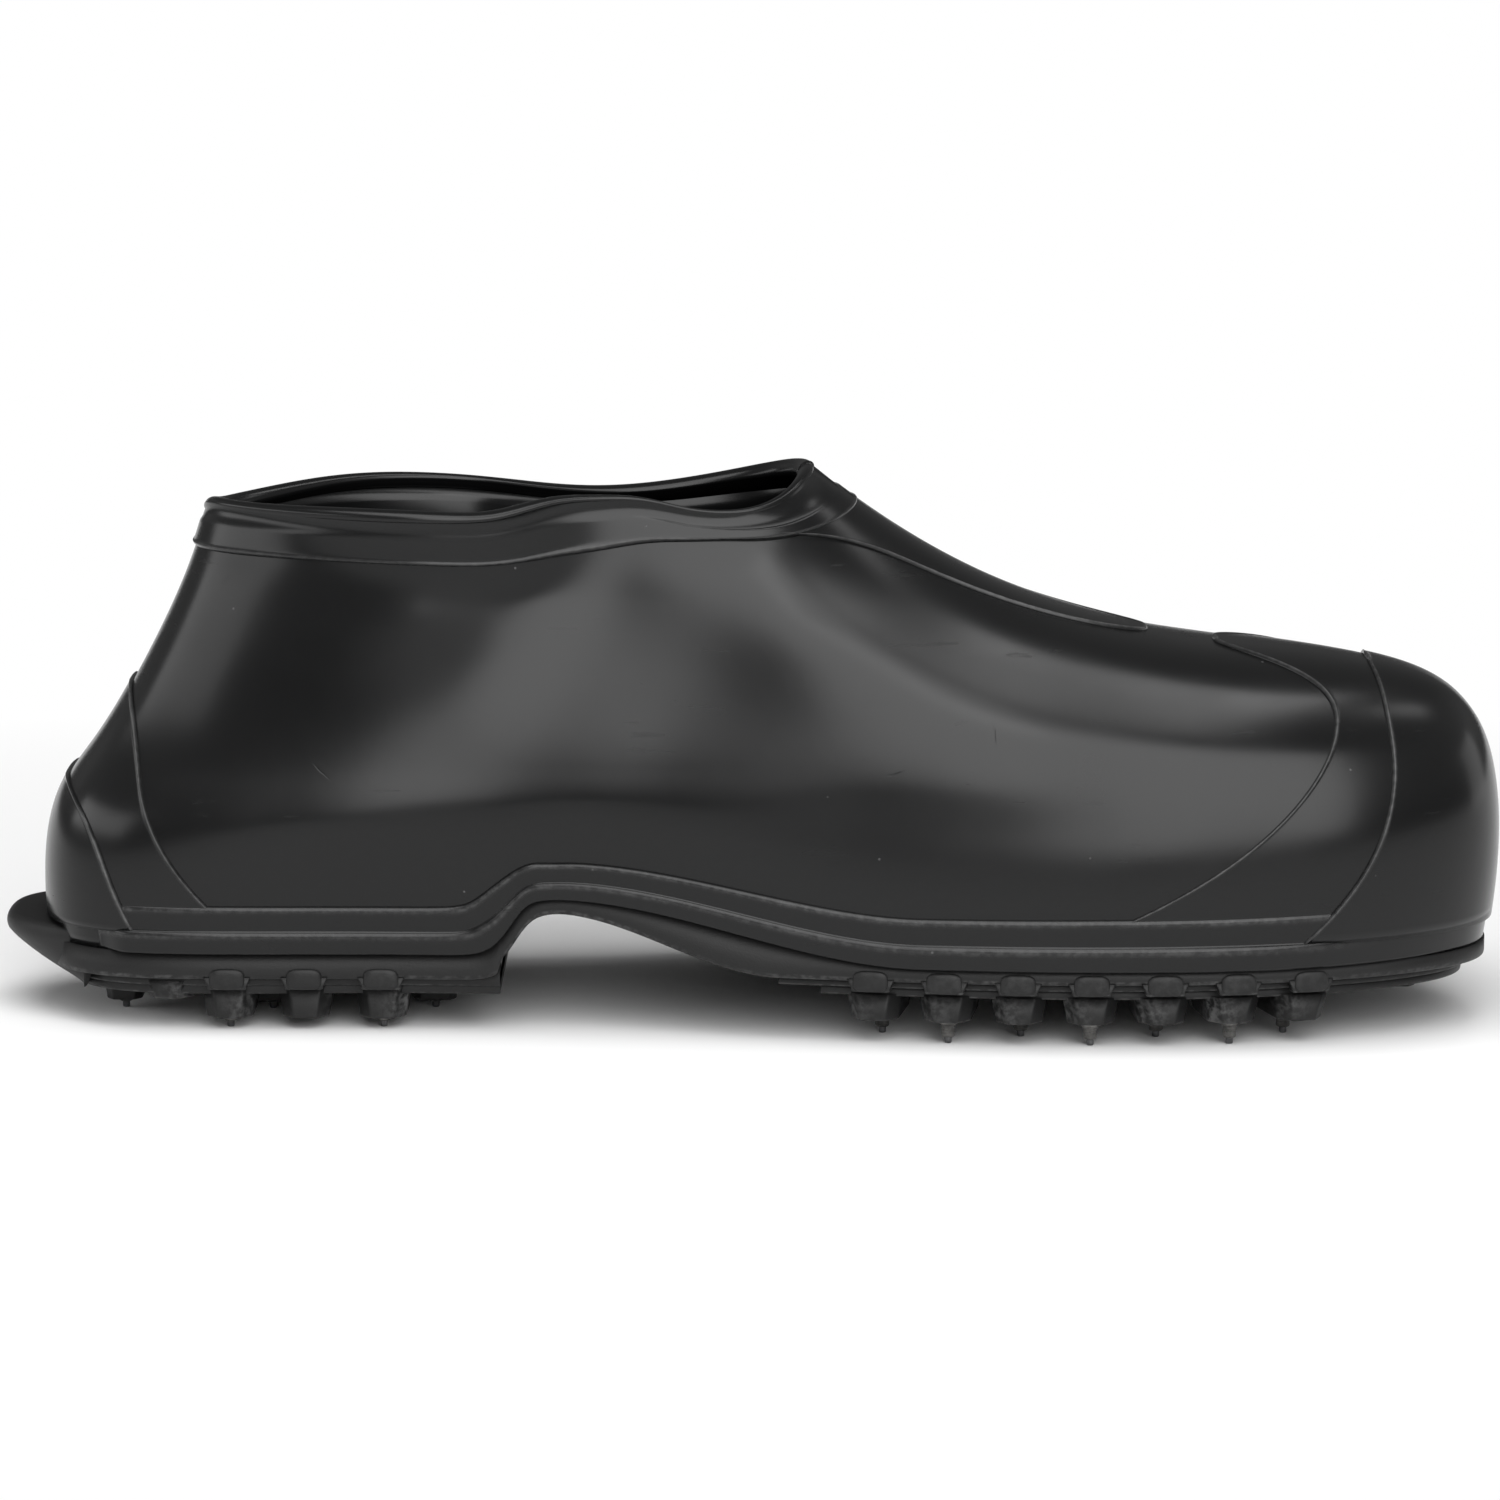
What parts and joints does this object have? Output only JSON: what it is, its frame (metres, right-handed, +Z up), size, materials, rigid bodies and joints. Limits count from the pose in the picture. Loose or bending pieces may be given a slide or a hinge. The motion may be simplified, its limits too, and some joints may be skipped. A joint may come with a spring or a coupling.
{
  "type": "studded rubber overshoe",
  "caption": "Low stretch rubber overshoe for one foot, pulled over a shoe, with a lugged sole, carbide-tipped ice studs under forefoot and heel, and a kick-off tab.",
  "frame": {"origin": "on the ground plane through the stud tips, under the middle of the overall length and width", "axes": "+X towards the toe, +Y towards the outer side of the left foot, +Z up"},
  "size_m": [0.3097, 0.1184, 0.1133],
  "materials": {
    "upper_rubber": "smooth moulded black rubber, satin gloss with scuffs and specks of moulding dust",
    "ply_rubber": "smooth moulded black rubber, satin gloss, edges slightly raised",
    "sole_rubber": "matt black rubber with fine moulded grain",
    "lining": "matt black rubber, bare inside face",
    "stud_steel": "zinc plated turned steel, light wear",
    "carbide": "ground sintered carbide, dull grey"
  },
  "bodies": {
    "root": {"upper": "upper_rubber", "collar_band": "ply_rubber", "instep_tongue": "ply_rubber", "toe_cap": "ply_rubber", "toe_guard": "ply_rubber", "heel_counter": "ply_rubber", "heel_guard": "ply_rubber", "foxing": "upper_rubber", "insole": "lining", "outsole": "sole_rubber", "forefoot_tread": "sole_rubber", "heel_tread": "sole_rubber", "stud_jacket_01": "stud_steel", "stud_jacket_02": "stud_steel", "stud_jacket_03": "stud_steel", "stud_jacket_04": "stud_steel", "stud_jacket_05": "stud_steel", "stud_jacket_06": "stud_steel", "stud_jacket_07": "stud_steel", "stud_jacket_08": "stud_steel", "stud_jacket_09": "stud_steel", "stud_jacket_10": "stud_steel", "stud_jacket_11": "stud_steel", "stud_jacket_12": "stud_steel", "stud_jacket_13": "stud_steel", "stud_jacket_14": "stud_steel", "stud_jacket_15": "stud_steel", "stud_jacket_16": "stud_steel", "stud_jacket_17": "stud_steel", "stud_jacket_18": "stud_steel", "stud_jacket_19": "stud_steel", "stud_jacket_20": "stud_steel", "stud_jacket_21": "stud_steel", "stud_jacket_22": "stud_steel", "stud_jacket_23": "stud_steel", "carbide_pin_01": "carbide", "carbide_pin_02": "carbide", "carbide_pin_03": "carbide", "carbide_pin_04": "carbide", "carbide_pin_05": "carbide", "carbide_pin_06": "carbide", "carbide_pin_07": "carbide", "carbide_pin_08": "carbide", "carbide_pin_09": "carbide", "carbide_pin_10": "carbide", "carbide_pin_11": "carbide", "carbide_pin_12": "carbide", "carbide_pin_13": "carbide", "carbide_pin_14": "carbide", "carbide_pin_15": "carbide", "carbide_pin_16": "carbide", "carbide_pin_17": "carbide", "carbide_pin_18": "carbide", "carbide_pin_19": "carbide", "carbide_pin_20": "carbide", "carbide_pin_21": "carbide", "carbide_pin_22": "carbide", "carbide_pin_23": "carbide"}
  },
  "joints": []
}
